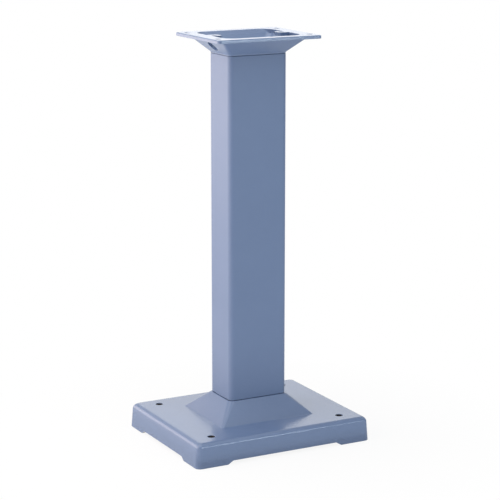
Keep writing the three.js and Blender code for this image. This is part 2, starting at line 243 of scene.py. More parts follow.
class StandStudio(bpy.types.PropertyGroup):
    """Camera, floor and light"""

    camera_place: place_prop("Camera", "Where the camera stands", (-1.6760, -3.1657, 1.1877))
    camera_turn: angle_prop("Camera turn", "Turn from the front towards the right", 27.956)
    camera_tilt: angle_prop("Camera tilt", "Tilt down from level", 12.56)
    lens: FloatProperty(name="Lens", description="Focal length in millimetres", default=129.656, min=1.0)
    sensor: FloatProperty(name="Sensor", description="Sensor width in millimetres", default=36.0, min=1.0)
    dome: bright_prop("Dome", "Even light from all round", 0.25)
    back_place: place_prop("Back lamp", "Low lamp behind on the left", (-1.5, 2.4, 0.61))
    back_light: bright_prop("Back light", "Brightness of the back lamp", 2.5)
    back_length: length_prop("Back lamp length", "Length of the back lamp", 2.6)
    back_width: length_prop("Back lamp width", "Height of the back lamp", 1.2)
    rear_place: place_prop("Rear lamp", "Lamp behind on the right", (1.1, 2.3, 1.2))
    rear_light: bright_prop("Rear light", "Brightness of the rear lamp", 0.72)
    left_place: place_prop("Left lamp", "Lamp on the left", (-1.1, 0.16, 0.85))
    left_light: bright_prop("Left light", "Brightness of the left lamp", 2.18)
    over_place: place_prop("Overhead lamp", "Lamp above the front", (0.1, -0.8, 2.0))
    over_light: bright_prop("Overhead light", "Brightness of the overhead lamp", 1.4)
    top_place: place_prop("Top lamp", "Lamp over the stand", (-0.2, 0.2, 2.4))
    top_light: bright_prop("Top light", "Brightness of the top lamp", 1.6)
    warm: colour_prop("Warm light", "Tint of the lamps on the left", (1.0, 0.855, 0.785))
    plain: colour_prop("Plain light", "Tint of the lamps above and behind", (1.0, 1.0, 1.0))
    cool: colour_prop("Cool light", "Tint of the lamps in front", (0.79, 0.91, 1.0))
    lamp_size: length_prop("Lamp size", "Side of a square lamp", 1.6)
    bounce_place: place_prop("Bounce lamp", "Lamp on the floor in front that faces up", (0.25, -0.98, 0.01))
    bounce_light: bright_prop("Bounce light", "Brightness of the bounce lamp", 0.45)
    side_place: place_prop("Side lamp", "Lamp on the floor on the left that faces up", (-1.05, 0.0, 0.01))
    side_light: bright_prop("Side light", "Brightness of the side lamp", 0.45)
    edge_place: place_prop("Edge lamp", "Strip lamp that draws the front edges", (1.15, -2.5, 0.72))
    edge_light: bright_prop("Edge light", "Brightness of the edge lamp", 120.0)
    edge_length: length_prop("Edge lamp length", "Length of the strip lamp", 0.45)
    edge_width: length_prop("Edge lamp width", "Width of the strip lamp", 0.05)
    floor_half: length_prop("Floor size", "Middle of the floor to its sides", 30.0)
    floor_grey: share_prop("Floor grey", "Grey level of the floor's paper", 0.9)
    floor_white: share_prop("Floor white", "Share of plain white in the floor under the stand", 0.9)
    floor_drop: length_prop("Floor drop", "Gap between the feet and the floor", 0.0003)
    hidden_inset: length_prop("Hidden inset", "Edge of the base to the floor that it hides", 0.026)
    white_from: length_prop("White from", "Distance at which the floor begins to whiten", 0.22)
    white_reach: length_prop("White reach", "Distance at which the floor is plain white", 0.6)


class StandDetail(bpy.types.PropertyGroup):
    """How finely the meshes are drawn"""

    corner_steps: count_prop("Corner steps", "Faces round a plan corner", 10, 2)
    fillet_steps: count_prop("Fillet steps", "Faces round an edge", 6, 2)
    worn_steps: count_prop("Worn steps", "Faces round an edge that a cut leaves", 2, 1)
    round_sides: count_prop("Round sides", "Faces round a hole or rod", 48, 12)
    thread_rows: count_prop("Thread rows", "Rows of faces up one turn of the thread", 6, 2)
    shade_rays: count_prop("Shade rays", "Rays that look for the joints and edges", 8, 1)
    inside_round: length_prop("Inside round", "Round of a casting's hidden corners", 0.004)
    lip: length_prop("Lip", "Eased lip of a hole or an opening", 0.0008)
    sharpest: length_prop("Sharpest corner", "Smallest plan radius", 0.0005)
    overrun: length_prop("Overrun", "How far a cutter stands past what it cuts", 0.004)
    worn_edge: length_prop("Worn edge", "Round of the edges that a cut leaves", 0.0006)
    worn_angle: angle_prop("Worn angle", "Least turn of an edge that is rounded off", 38.0)
    sharp_angle: angle_prop("Sharp angle", "Least turn of an edge that shades sharp", 40.0)
    cut_sliver: length_prop("Cut sliver", "Widest sliver of a cut that is closed up", 0.00005)
    worn_sliver: length_prop("Worn sliver", "Widest sliver of a rounded edge that is closed up", 0.000005)


GROUPS = {
    "stand_base": StandBaseSizes,
    "stand_column": StandColumnSizes,
    "stand_head": StandHeadSizes,
    "stand_clamp": StandClampSizes,
    "stand_finish": StandFinish,
    "stand_studio": StandStudio,
    "stand_detail": StandDetail,
}


# Node graphs

class Field:
    """A node's output that takes part in Python expressions."""

    def __init__(self, graph, socket):
        self.graph = graph
        self.socket = socket

    def __add__(self, other):
        return self.graph.math("ADD", self, other)

    def __radd__(self, other):
        return self.graph.math("ADD", other, self)

    def __sub__(self, other):
        return self.graph.math("SUBTRACT", self, other)

    def __rsub__(self, other):
        return self.graph.math("SUBTRACT", other, self)

    def __mul__(self, other):
        return self.graph.math("MULTIPLY", self, other)

    def __rmul__(self, other):
        return self.graph.math("MULTIPLY", other, self)


class Graph:
    """A node tree that is built by expressions."""

    # Where the Mix node keeps the sockets of its colours
    MIX_FACTOR, MIX_FIRST, MIX_SECOND, MIX_RESULT = 0, 6, 7, 2

    def __init__(self, owner):
        owner.use_nodes = True
        self.tree = owner.node_tree
        self.tree.nodes.clear()

    def node(self, kind, settings=None, sockets=None, output=0):
        """Adds a node, sets its settings, then its sockets, and returns one of its outputs."""
        node = self.tree.nodes.new(kind)
        for name, value in (settings or {}).items():
            if name == "stops":
                self.set_stops(node.color_ramp, value)
            else:
                setattr(node, name, value)
        for name, value in (sockets or {}).items():
            if isinstance(value, Field):
                self.tree.links.new(value.socket, node.inputs[name])
            else:
                node.inputs[name].default_value = value
        return Field(self, node.outputs[output]) if node.outputs else node

    @staticmethod
    def set_stops(ramp, stops):
        """Gives a ramp its stops, each a position and a grey level."""
        while len(ramp.elements) < len(stops):
            ramp.elements.new(1.0)
        for element, (position, level) in zip(ramp.elements, stops):
            element.position = position
            element.color = (level, level, level, 1.0)

    def math(self, operation, first, second):
        return self.node("ShaderNodeMath", {"operation": operation}, {0: first, 1: second})

    def clamp(self, value):
        return self.node("ShaderNodeClamp", None, {"Value": value})

    def ramp(self, value, stops):
        return self.node("ShaderNodeValToRGB", {"stops": stops}, {"Fac": value})

    def mix_colour(self, part, first, second):
        settings = {"data_type": "RGBA", "blend_type": "MIX"}
        sockets = {self.MIX_FACTOR: part, self.MIX_FIRST: first, self.MIX_SECOND: second}
        return self.node("ShaderNodeMix", settings, sockets, self.MIX_RESULT)

    def noise(self, place, pattern):
        """A noise with a pattern's scale, detail and roughness."""
        sockets = dict(zip(("Scale", "Detail", "Roughness"), pattern))
        return self.node("ShaderNodeTexNoise", None, {"Vector": place, **sockets})

    def openness(self, reach, **settings):
        """How open the space is within a reach of the surface, from nothing to one."""
        settings["samples"] = bpy.context.scene.stand_detail.shade_rays
        return self.node("ShaderNodeAmbientOcclusion", settings, {"Distance": reach}, "AO")

    def bump(self, height, distance, normal=None):
        sockets = {"Height": height, "Distance": distance, "Strength": 1.0}
        if normal is not None:
            sockets["Normal"] = normal
        return self.node("ShaderNodeBump", None, sockets)

    def finish(self, kind, shader):
        """Links a shader to the tree's output node."""
        return self.node(kind, None, {"Surface": shader})

    def surface(self, sockets):
        """Ends a material with a shader that has the given sockets."""
        shader = self.node("ShaderNodeBsdfPrincipled", None, sockets)
        return self.finish("ShaderNodeOutputMaterial", shader)


# Finishes

Noise = namedtuple("Noise", "scale detail roughness", defaults=(2.0, 0.5))
CLOUDS = Noise(9.0, 3.0)
POOLS = Noise(55.0, 4.0, 0.6)
FLECKS = Noise(900.0)
LUMPS = Noise(260.0)
RIPPLES = Noise(520.0)
RUST = Noise(240.0, 4.0, 0.6)
IRON_GRIT = Noise(1600.0)
PATCHES = Noise(120.0, 3.0)
ZINC_GRIT = Noise(1400.0)
NOISE_MIDDLE = 0.5
CLOUD_SHARE = 0.6

# Each stop of a ramp is a value and the grey level that it turns into
TONE_RAMP = ((0.36, 0.0), (0.64, 1.0))
THIN_RAMP = ((0.45, 1.0), (0.85, 0.0))
FLECK_RAMP = ((0.66, 0.0), (0.74, 1.0))
# Painted shade in joints and creases: the more enclosed a point, the nearer it turns to the dark joint
# colour
JOINT_SHADE_RAMP = ((0.20, 1.0), (0.48, 0.0))
RUST_RAMP = ((0.48, 0.0), (0.66, 1.0))
PATCH_RAMP = ((0.42, 0.0), (0.70, 1.0))
WHITE = (1.0, 1.0, 1.0, 1.0)


def opaque(colour):
    return (*colour, 1.0)


def swing(noise, amount):
    """A noise about its middle, brought to an amount."""
    return (noise - NOISE_MIDDLE) * amount


def new_material(name):
    """An empty material, its graph and the coordinates that its patterns follow."""
    material = bpy.data.materials.new(name)
    graph = Graph(material)
    return material, graph, graph.node("ShaderNodeTexCoord", output="Object")


def painted(name, gloss, grain):
    """Semi-gloss enamel with orange peel, over lumps of the given depth, with painted shade laid into its
    joints and creases.
    """
    finish = bpy.context.scene.stand_finish
    material, graph, place = new_material(name)
    cloud = graph.noise(place, CLOUDS)
    pool = graph.noise(place, POOLS)
    fleck = graph.noise(place, FLECKS)
    thin = graph.ramp(graph.openness(finish.edge_reach, inside=True, only_local=True), THIN_RAMP)
    tone = graph.ramp(cloud * CLOUD_SHARE + pool * (1 - CLOUD_SHARE), TONE_RAMP)
    body = graph.mix_colour(tone, opaque(finish.paint_deep), opaque(finish.paint))
    body = graph.mix_colour(thin * finish.thin_share, body, opaque(finish.paint_thin))
    pale = graph.ramp(fleck, FLECK_RAMP)
    body = graph.mix_colour(pale * finish.fleck_share, body, opaque(finish.paint_thin))
    # Painted shade: darkens the enamel where other surfaces close in on it, in joints and creases
    seam = graph.ramp(graph.openness(finish.joint_shade_reach), JOINT_SHADE_RAMP)
    lumps = graph.bump(graph.noise(place, LUMPS), grain)
    graph.surface({
        "Base Color": graph.mix_colour(seam, body, opaque(finish.seam)),
        "Roughness": gloss + swing(pool, finish.pool_swing) + swing(fleck, finish.fleck_swing),
        "Normal": graph.bump(graph.noise(place, RIPPLES), finish.orange_peel, lumps),
        "IOR": finish.paint_index,
    })
    return material


def cast_enamel():
    """Enamel over the lumpy skin of a casting."""
    finish = bpy.context.scene.stand_finish
    return painted("cast_enamel", finish.cast_roughness, finish.cast_grain)


def tube_enamel():
    """Duller enamel over the smoother skin of the column."""
    finish = bpy.context.scene.stand_finish
    return painted("tube_enamel", finish.tube_roughness, finish.tube_grain)


def bare_iron():
    """Dark oxidised iron with rusty patches and fine grit; its near-black colour is partly painted shade
    for the insides of the drilled holes.
    """
    finish = bpy.context.scene.stand_finish
    material, graph, place = new_material("bare_iron")
    rusty = graph.ramp(graph.noise(place, RUST), RUST_RAMP)
    grit = graph.noise(place, IRON_GRIT)
    graph.surface({
        "Base Color": graph.mix_colour(rusty, opaque(finish.bore_iron_and_shade), opaque(finish.iron_rust)),
        "Roughness": finish.iron_roughness + swing(grit, finish.iron_swing),
        "Normal": graph.bump(grit, finish.iron_grain),
    })
    return material


def zinc_plate():
    """Zinc-plated steel with passivated patches and fine grit."""
    finish = bpy.context.scene.stand_finish
    material, graph, place = new_material("zinc_plate")
    patches = graph.noise(place, PATCHES)
    grit = graph.noise(place, ZINC_GRIT)
    warm = graph.ramp(patches, PATCH_RAMP)
    swings = swing(patches, finish.patch_swing) + swing(grit, finish.grit_swing)
    graph.surface({
        "Base Color": graph.mix_colour(warm, opaque(finish.zinc), opaque(finish.zinc_warm)),
        "Roughness": finish.zinc_roughness + swings,
        "Normal": graph.bump(grit, finish.zinc_grain),
        "Metallic": 1.0,
    })
    return material


MATERIALS = {CAST_SLOT: cast_enamel, TUBE_SLOT: tube_enamel, STEEL_SLOT: zinc_plate, BARE: bare_iron}
made_materials = {}


def material_for(slot):
    """The material of a slot, made when it is first asked for."""
    if slot not in made_materials:
        made_materials[slot] = MATERIALS[slot]()
    return made_materials[slot]


# Skins made of rounded-rectangle levels

Level = namedtuple("Level", "z length depth corner soft")

# Largest share of the step to its neighbour that the round of a level takes
LONGEST_ROUND = 0.48


def between(first, second, part):
    """A level part of the way from one level to another."""
    return Level(*(a + (b - a) * part for a, b in zip(first, second)))


def step_of(first, second):
    """The step between two levels: how far the sides move out on average, and the rise."""
    grow = ((second.length - first.length) + (second.depth - first.depth)) / 4
    return Vector((grow, second.z - first.z))


def rounded(before, level, after, steps):
    """The run of levels that rounds off one level by an arc of its own radius."""
    step_in = step_of(before, level)
    step_out = step_of(level, after)
    cosine = max(-1.0, min(1.0, step_in.normalized().dot(step_out.normalized())))
    weight = math.sqrt((1.0 + cosine) / 2)
    reach = level.soft * math.tan(math.acos(cosine) / 2)
    start = between(level, before, min(reach / step_in.length, LONGEST_ROUND))
    end = between(level, after, min(reach / step_out.length, LONGEST_ROUND))
    levels = []
    for step in range(steps + 1):
        t = step / steps
        shares = ((1 - t) ** 2, 2 * t * (1 - t) * weight, t ** 2)
        total = sum(shares)
        values = (sum(s * v for s, v in zip(shares, trio)) / total for trio in zip(start, level, end))
        levels.append(Level(*values))
    return levels


def softened(levels):
    """A closed run of levels with its soft ones rounded off."""
    steps = bpy.context.scene.stand_detail.fillet_steps
    result = []
    for index, level in enumerate(levels):
        if level.soft > 0.0:
            after = levels[(index + 1) % len(levels)]
            result.extend(rounded(levels[index - 1], level, after, steps))
        else:
            result.append(level)
    return result


def ring(level):
    """Points of a level's rounded rectangle, anticlockwise from above."""
    detail = bpy.context.scene.stand_detail
    corner = max(level.corner, detail.sharpest)
    x = level.length / 2 - corner
    y = level.depth / 2 - corner
    points = []
    for quarter, (side, end) in enumerate(((1, 1), (-1, 1), (-1, -1), (1, -1))):
        for step in range(detail.corner_steps + 1):
            angle = (quarter + step / detail.corner_steps) * math.pi / 2
            out_x, out_y = corner * math.cos(angle), corner * math.sin(angle)
            points.append((side * x + out_x, end * y + out_y, level.z))
    return points


def mesh_from_rows(name, rows, closed=True):
    """A mesh through rows of points, joined end to end, or capped at both ends."""
    mesh = bmesh.new()
    grid = [[mesh.verts.new(point) for point in row] for row in rows]
    pairs = list(zip(grid, grid[1:]))
    if closed:
        pairs.append((grid[-1], grid[0]))
    else:
        mesh.faces.new(reversed(grid[0]))
        mesh.faces.new(grid[-1])
    for lower, upper in pairs:
        for index in range(len(lower)):
            follow = (index + 1) % len(lower)
            mesh.faces.new((lower[index], lower[follow], upper[follow], upper[index]))
    bmesh.ops.recalc_face_normals(mesh, faces=mesh.faces)
    return object_from(name, mesh)


def object_from(name, mesh):
    """Turns a bmesh into an object of the scene."""
    data = bpy.data.meshes.new(name)
    mesh.to_mesh(data)
    mesh.free()
    obj = bpy.data.objects.new(name, data)
    bpy.context.scene.collection.objects.link(obj)
    return obj


def skin(name, levels):
    """A closed skin through a loop of levels."""
    return mesh_from_rows(name, [ring(level) for level in softened(levels)])


def cast(name, levels):
    """A painted casting, which stays bare where it is drilled."""
    casting = skin(name, levels)
    for finish in (CAST_SLOT, BARE):
        casting.data.materials.append(material_for(finish))
    return casting


def turned(name, profile, closed=False):
    """A turned shape about Z. Its radii and heights are numbers or functions of the angle."""
    sides = bpy.context.scene.stand_detail.round_sides
    rows = []
    for radius, height in profile:
        row = []
        for side in range(sides):
            angle = side * math.tau / sides
            r = radius(angle) if callable(radius) else radius
            z = height(angle) if callable(height) else height
            row.append((r * math.cos(angle), r * math.sin(angle), z))
        rows.append(row)
    return mesh_from_rows(name, rows, closed)


def prism(name, outline, low, high):
    """An outline of plan points drawn up from one height to another."""
    return mesh_from_rows(name, [[(x, y, z) for x, y in outline] for z in (low, high)], False)


# Cuts and joins

# A face whose normal rises less than this is the wall of a hole
WALL_RISE = 0.05

# The weight at which the largest faces alone set the normals at their edges
LARGE_FACES = 100


def hole_cutter(diameter, low, high, bare=True):
    """Cutter for a round hole between two faces, with eased lips and a bare or painted wall."""
    detail = bpy.context.scene.stand_detail
    radius, lip = diameter / 2, detail.lip
    profile = [(radius + lip, low - detail.overrun)]
    for step in range(detail.fillet_steps + 1):
        angle = step / detail.fillet_steps * math.pi / 2
        profile.append((radius + lip * (1 - math.sin(angle)), low + lip * (1 - math.cos(angle))))
    for r, z in reversed(profile[1:]):
        profile.append((r, high + low - z))
    profile.append((radius + lip, high + detail.overrun))
    tool = turned("hole_cutter", profile)
    for face in tool.data.polygons:
        face.material_index = 1 if bare and abs(face.normal.z) < WALL_RISE else 0
    return tool


def hole_cutters(places, diameter, low, high):
    """Cutters for like holes at several places of the plan."""
    return [moved(hole_cutter(diameter, low, high), at(x, y)) for x, y in places]


def moved(obj, matrix):
    """Moves an object's mesh, so that the object itself stays at the origin."""
    obj.data.transform(matrix)
    return obj


def at(x, y, z=0.0):
    return Matrix.Translation((x, y, z))


def corners(x, y):
    """The four corners of a rectangular pattern."""
    return [(side * x, end * y) for side in (-1, 1) for end in (-1, 1)]


def joined(obj, tools, operation):
    """Cuts tools from an object, or adds them to it, and deletes them."""
    group = bpy.data.collections.new("tools")
    bpy.context.scene.collection.children.link(group)
    for tool in tools:
        bpy.context.scene.collection.objects.unlink(tool)
        group.objects.link(tool)
    change = obj.modifiers.new("join", "BOOLEAN")
    change.operation = operation
    change.solver = "EXACT"
    change.operand_type = "COLLECTION"
    change.collection = group
    bake_modifiers(obj)
    for tool in tools:
        bpy.data.objects.remove(tool)
    bpy.data.collections.remove(group)


def bake_modifiers(obj):
    """Replaces an object's mesh by what its modifiers make of it."""
    graph = bpy.context.evaluated_depsgraph_get()
    data = bpy.data.meshes.new_from_object(obj.evaluated_get(graph))
    old = obj.data
    obj.modifiers.clear()
    obj.data = data
    data.name = obj.name
    bpy.data.meshes.remove(old)


def welded(obj, reach):
    """Closes up the slivers that are no wider than a reach."""
    mesh = bmesh.new()
    mesh.from_mesh(obj.data)
    bmesh.ops.remove_doubles(mesh, verts=mesh.verts, dist=reach)
    bmesh.ops.dissolve_degenerate(mesh, edges=mesh.edges, dist=reach)
    mesh.to_mesh(obj.data)
    mesh.free()


def eased(obj):
    """Rounds off the sharp edges that cuts leave and sets smooth shading."""
    detail = bpy.context.scene.stand_detail
    welded(obj, detail.cut_sliver)
    bevel = obj.modifiers.new("edges", "BEVEL")
    bevel.width = detail.worn_edge
    bevel.segments = detail.worn_steps
    bevel.limit_method = "ANGLE"
    bevel.angle_limit = detail.worn_angle
    bake_modifiers(obj)
    welded(obj, detail.worn_sliver)
    smoothed(obj)


def smoothed(obj):
    """Smooth shading that keeps flat faces flat."""
    obj.data.shade_smooth()
    obj.data.set_sharp_from_angle(angle=bpy.context.scene.stand_detail.sharp_angle)
    weights = obj.modifiers.new("normals", "WEIGHTED_NORMAL")
    weights.mode = "FACE_AREA"
    weights.weight = LARGE_FACES
    weights.keep_sharp = True
    bake_modifiers(obj)


def settle(obj, node, slot):
    """Puts a finished piece on the frame in place of its CAD node."""
    obj.name = f"{node}_finished"
    if not obj.data.materials:
        obj.data.materials.append(material_for(slot))
    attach(obj, BODY)
    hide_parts(node)


# Sizes that more than one piece needs

def plan_of(low, high):
    """Length and depth of a box."""
    return high.x - low.x, high.y - low.y


def column_plan():
    """Length and depth of the column from outside."""
    return plan_of(COLUMN_LOW, COLUMN_HIGH)


def spigot_level(z, soft):
    """Level of the plug that locates the column."""
    column = bpy.context.scene.stand_column
    play = 2 * (column.wall + bpy.context.scene.stand_clamp.spigot_clearance)
    length, depth = column_plan()
    return Level(z, length - play, depth - play, column.corner_radius - play / 2, soft)


def opening_level(z):
    """Level of the cord opening through a web."""
    clamp = bpy.context.scene.stand_clamp
    lip = bpy.context.scene.stand_detail.lip
    return Level(z, clamp.opening_length, clamp.opening_depth, clamp.opening_corner, lip)


def nodes_named(start):
    """Names of the CAD nodes that begin with a word."""
    return sorted(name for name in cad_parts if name.startswith(start))


def boxes_of(*starts):
    """The CAD nodes that begin with the given words, each with its low and high corner."""
    return [(node, *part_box(node)) for start in starts for node in nodes_named(start)]


def rod_hole_cutters(low, high):
    """Cutters for the tie rods' holes, where the rods stand."""
    clearance = bpy.context.scene.stand_clamp.hole_clearance
    tools = []
    for _, rod_low, rod_high in boxes_of("tie_rod"):
        middle = (rod_low + rod_high) / 2
        diameter = rod_high.x - rod_low.x + clearance
        tools += hole_cutters([(middle.x, middle.y)], diameter, low, high)
    return tools


class STAND_OT_base(bpy.types.Operator):
    """Hollow cast base with feet, floor bolt holes and a tapered riser"""

    bl_idname = "stand.base"
    bl_label = "Base casting"

    def levels(self, sizes, clamp, detail):
        """Loop of levels from the web's opening through the hollow, round the skirt and up the riser."""
        length, depth = plan_of(BASE_LOW, BASE_HIGH)
        spigot_top = BASE_HIGH.z
        seat = spigot_top - clamp.spigot
        web_low = seat - clamp.web
        deck = sizes.deck_height
        deck_low = deck - sizes.deck_thickness
        column_length, column_depth = column_plan()
        seat_length = column_length + 2 * sizes.riser_ledge
        seat_depth = column_depth + 2 * sizes.riser_ledge
        seat_corner = bpy.context.scene.stand_column.corner_radius + sizes.riser_ledge
        slope_x = sizes.riser_spread_x / (seat - deck)
        slope_y = sizes.riser_spread_y / (seat - deck)
        wall_x = sizes.riser_wall * math.hypot(1, slope_x)
        wall_y = sizes.riser_wall * math.hypot(1, slope_y)
        inner = detail.inside_round

        def inside_riser(z, soft):
            grow_x = (seat - z) * slope_x - wall_x
            grow_y = (seat - z) * slope_y - wall_y
            return Level(z, seat_length + 2 * grow_x, seat_depth + 2 * grow_y, 2 * inner, soft)

        def outside(z, inset, soft):
            corner = sizes.corner_radius - inset
            return Level(z, length - 2 * inset, depth - 2 * inset, corner, soft)

        draft_low = sizes.skirt_draft * deck_low / deck
        return [
            opening_level(web_low),
            inside_riser(web_low, inner),
            inside_riser(deck_low, inner),
            outside(deck_low, sizes.skirt_wall + draft_low, inner),
            outside(0.0, sizes.skirt_wall, detail.lip),
            outside(0.0, 0.0, detail.lip),
            outside(deck, sizes.skirt_draft, sizes.edge_radius),
            Level(deck, seat_length + 2 * sizes.riser_spread_x, seat_depth + 2 * sizes.riser_spread_y,
                  sizes.riser_corner, sizes.riser_fillet),
            Level(seat, seat_length, seat_depth, seat_corner, 2 * detail.lip),
            spigot_level(seat, 0.0),
            spigot_level(spigot_top, detail.lip),
            opening_level(spigot_top),
        ]

    def relief(self, sizes, detail, side, foot, across):
        """Cutter with sloping ends that leaves a foot at each end of a pair of skirts."""
        at_floor = side / 2 - foot
        below = at_floor + detail.overrun * sizes.relief_run / sizes.relief_height
        above = at_floor - sizes.relief_run
        outline = [(-below, -detail.overrun), (below, -detail.overrun),
                   (above, sizes.relief_height), (-above, sizes.relief_height)]
        tool = prism("relief_cutter", outline, -across / 2 - detail.overrun, across / 2 + detail.overrun)
        return moved(tool, Matrix.Rotation(math.pi / 2, 4, "X"))

    def execute(self, context):
        scene = context.scene
        sizes, clamp, detail = scene.stand_base, scene.stand_clamp, scene.stand_detail
        casting = cast("base", self.levels(sizes, clamp, detail))
        length, depth = plan_of(BASE_LOW, BASE_HIGH)
        deck_low = sizes.deck_height - sizes.deck_thickness
        boss_low = deck_low - sizes.boss_depth
        radius = sizes.boss_diameter / 2
        places = corners(length / 2 - sizes.hole_inset_x, depth / 2 - sizes.hole_inset_y)
        boss = [(radius - detail.lip, boss_low), (radius, boss_low + detail.lip),
                (radius + detail.lip, deck_low + sizes.deck_thickness / 2)]
        joined(casting, [moved(turned("boss", boss), at(x, y)) for x, y in places], "UNION")
        tools = hole_cutters(places, sizes.hole_diameter, boss_low, sizes.deck_height)
        tools += rod_hole_cutters(BASE_HIGH.z - clamp.spigot - clamp.web, BASE_HIGH.z)
        tools.append(self.relief(sizes, detail, length, sizes.foot_length, depth))
        side_relief = self.relief(sizes, detail, depth, sizes.foot_depth, length)
        tools.append(moved(side_relief, Matrix.Rotation(math.pi / 2, 4, "Z")))
        joined(casting, tools, "DIFFERENCE")
        eased(casting)
        settle(casting, BASE_NODE, CAST_SLOT)
        return {"FINISHED"}


class STAND_OT_column(bpy.types.Operator):
    """Rectangular steel tube between the base and the head"""

    bl_idname = "stand.column"
    bl_label = "Column"

    def execute(self, context):
        sizes = context.scene.stand_column
        length, depth = column_plan()
        low, high = COLUMN_LOW.z, COLUMN_HIGH.z
        inner_length, inner_depth = length - 2 * sizes.wall, depth - 2 * sizes.wall
        inner_corner = sizes.corner_radius - sizes.wall
        lip = context.scene.stand_detail.lip / 2
        tube = skin("column", [
            Level(low, length, depth, sizes.corner_radius, sizes.end_round),
            Level(high, length, depth, sizes.corner_radius, sizes.end_round),
            Level(high, inner_length, inner_depth, inner_corner, lip),
            Level(low, inner_length, inner_depth, inner_corner, lip),
        ])
        smoothed(tube)
        settle(tube, COLUMN_NODE, TUBE_SLOT)
        return {"FINISHED"}


class STAND_OT_head(bpy.types.Operator):
    """Flared cast head with an open mouth, two lugs and a cord hole"""

    bl_idname = "stand.head"
    bl_label = "Head casting"

    def levels(self, sizes, clamp, detail):
        """Loop of levels from the web's opening up the outside, over the rim and down the hollow."""
        top = HEAD_HIGH.z
        seat = HEAD_LOW.z + clamp.spigot
        floor = seat + clamp.web
        flange_low = top - sizes.flange_thickness
        length, depth = column_plan()
        corner = bpy.context.scene.stand_column.corner_radius
        slope = sizes.flare_spread / sizes.flare_rise
        wall = sizes.flare_wall * math.hypot(1, slope)
        flange_length, flange_depth = plan_of(HEAD_LOW, HEAD_HIGH)
        inner = detail.inside_round

        def flare(z, inset, round_corner, soft):
            grow = (z - seat - sizes.collar) * slope - inset
            return Level(z, length + 2 * grow, depth + 2 * grow, round_corner, soft)

        return [
            opening_level(seat - clamp.spigot),
            spigot_level(seat - clamp.spigot, detail.lip),
            spigot_level(seat, 0.0),
            Level(seat, length, depth, corner, detail.lip),
            flare(seat + sizes.collar, 0.0, corner, inner),
            flare(flange_low, 0.0, sizes.flare_corner, inner / 2),
            Level(flange_low, flange_length, flange_depth, sizes.flange_corner, detail.lip),
            Level(top, flange_length, flange_depth, sizes.flange_corner, sizes.flange_round),
            Level(top, sizes.mouth_length, sizes.mouth_depth, sizes.mouth_corner, sizes.flange_round),
            flare(flange_low, wall, corner, inner),
            flare(floor, wall, corner, inner / 2),
            opening_level(floor),
        ]

    def lug(self, sizes, side):
        """Flat ear that reaches into the mouth from the middle of a side rim."""
        outer = HEAD_HIGH.x - sizes.bolt_inset_x
        inner = sizes.mouth_length / 2 - sizes.lug_reach
        plan = Level(0.0, outer - inner, sizes.lug_width, sizes.lug_corner, 0.0)
        outline = [(x, y) for x, y, _ in ring(plan)]
        ear = prism("lug", outline, HEAD_HIGH.z - sizes.flange_thickness, HEAD_HIGH.z)
        return moved(ear, at(side * (outer + inner) / 2, 0.0))

    def cord_cutter(self, sizes, clamp):
        """Cutter square to the left sloping wall."""
        middle_x = column_plan()[0] / 2 + sizes.cord_rise * sizes.flare_spread / sizes.flare_rise
        middle_z = HEAD_LOW.z + clamp.spigot + sizes.collar + sizes.cord_rise
        lean = math.atan2(sizes.flare_rise, sizes.flare_spread)
        tool = hole_cutter(sizes.cord_hole, 0.0, sizes.flare_wall, bare=False)
        return moved(tool, at(-middle_x, 0.0, middle_z) @ Matrix.Rotation(lean, 4, "Y"))

    def execute(self, context):
        scene = context.scene
        sizes, clamp, detail = scene.stand_head, scene.stand_clamp, scene.stand_detail
        casting = cast("head", self.levels(sizes, clamp, detail))
        joined(casting, [self.lug(sizes, side) for side in (-1, 1)], "UNION")
        top = HEAD_HIGH.z
        flange_low = top - sizes.flange_thickness
        places = corners(HEAD_HIGH.x - sizes.bolt_inset_x, HEAD_HIGH.y - sizes.bolt_inset_y)
        lug_hole = sizes.mouth_length / 2 - sizes.lug_reach + sizes.lug_hole_inset
        places += [(-lug_hole, 0.0), (lug_hole, 0.0)]
        tools = hole_cutters(places, sizes.bolt_hole, flange_low, top)
        tools += rod_hole_cutters(HEAD_LOW.z, HEAD_LOW.z + clamp.spigot + clamp.web)
        tools.append(self.cord_cutter(sizes, clamp))
        joined(casting, tools, "DIFFERENCE")
        eased(casting)
        settle(casting, HEAD_NODE, CAST_SLOT)
        return {"FINISHED"}


# Clamp hardware

def rod_diameter():
    """Diameter of a tie rod."""
    _, low, high = boxes_of("tie_rod")[0]
    return high.x - low.x


def washer_bore():
    """Radius of a washer's hole."""
    return (rod_diameter() + bpy.context.scene.stand_clamp.hole_clearance) / 2


def washer_section(radius, low, high):
    """Section of a washer in radii and heights, with eased edges."""
    bore = washer_bore()
    lip = bpy.context.scene.stand_detail.lip / 2
    return [
        (bore, low + lip), (bore + lip, low), (radius - lip, low), (radius, low + lip),
        (radius, high - lip), (radius - lip, high), (bore + lip, high), (bore, high - lip),
    ]


def seat_steel(piece, node, low, high):
    """Puts a steel piece that is made about Z where its CAD node stands."""
    middle = (low + high) / 2
    moved(piece, at(middle.x, middle.y))
    smoothed(piece)
    settle(piece, node, STEEL_SLOT)


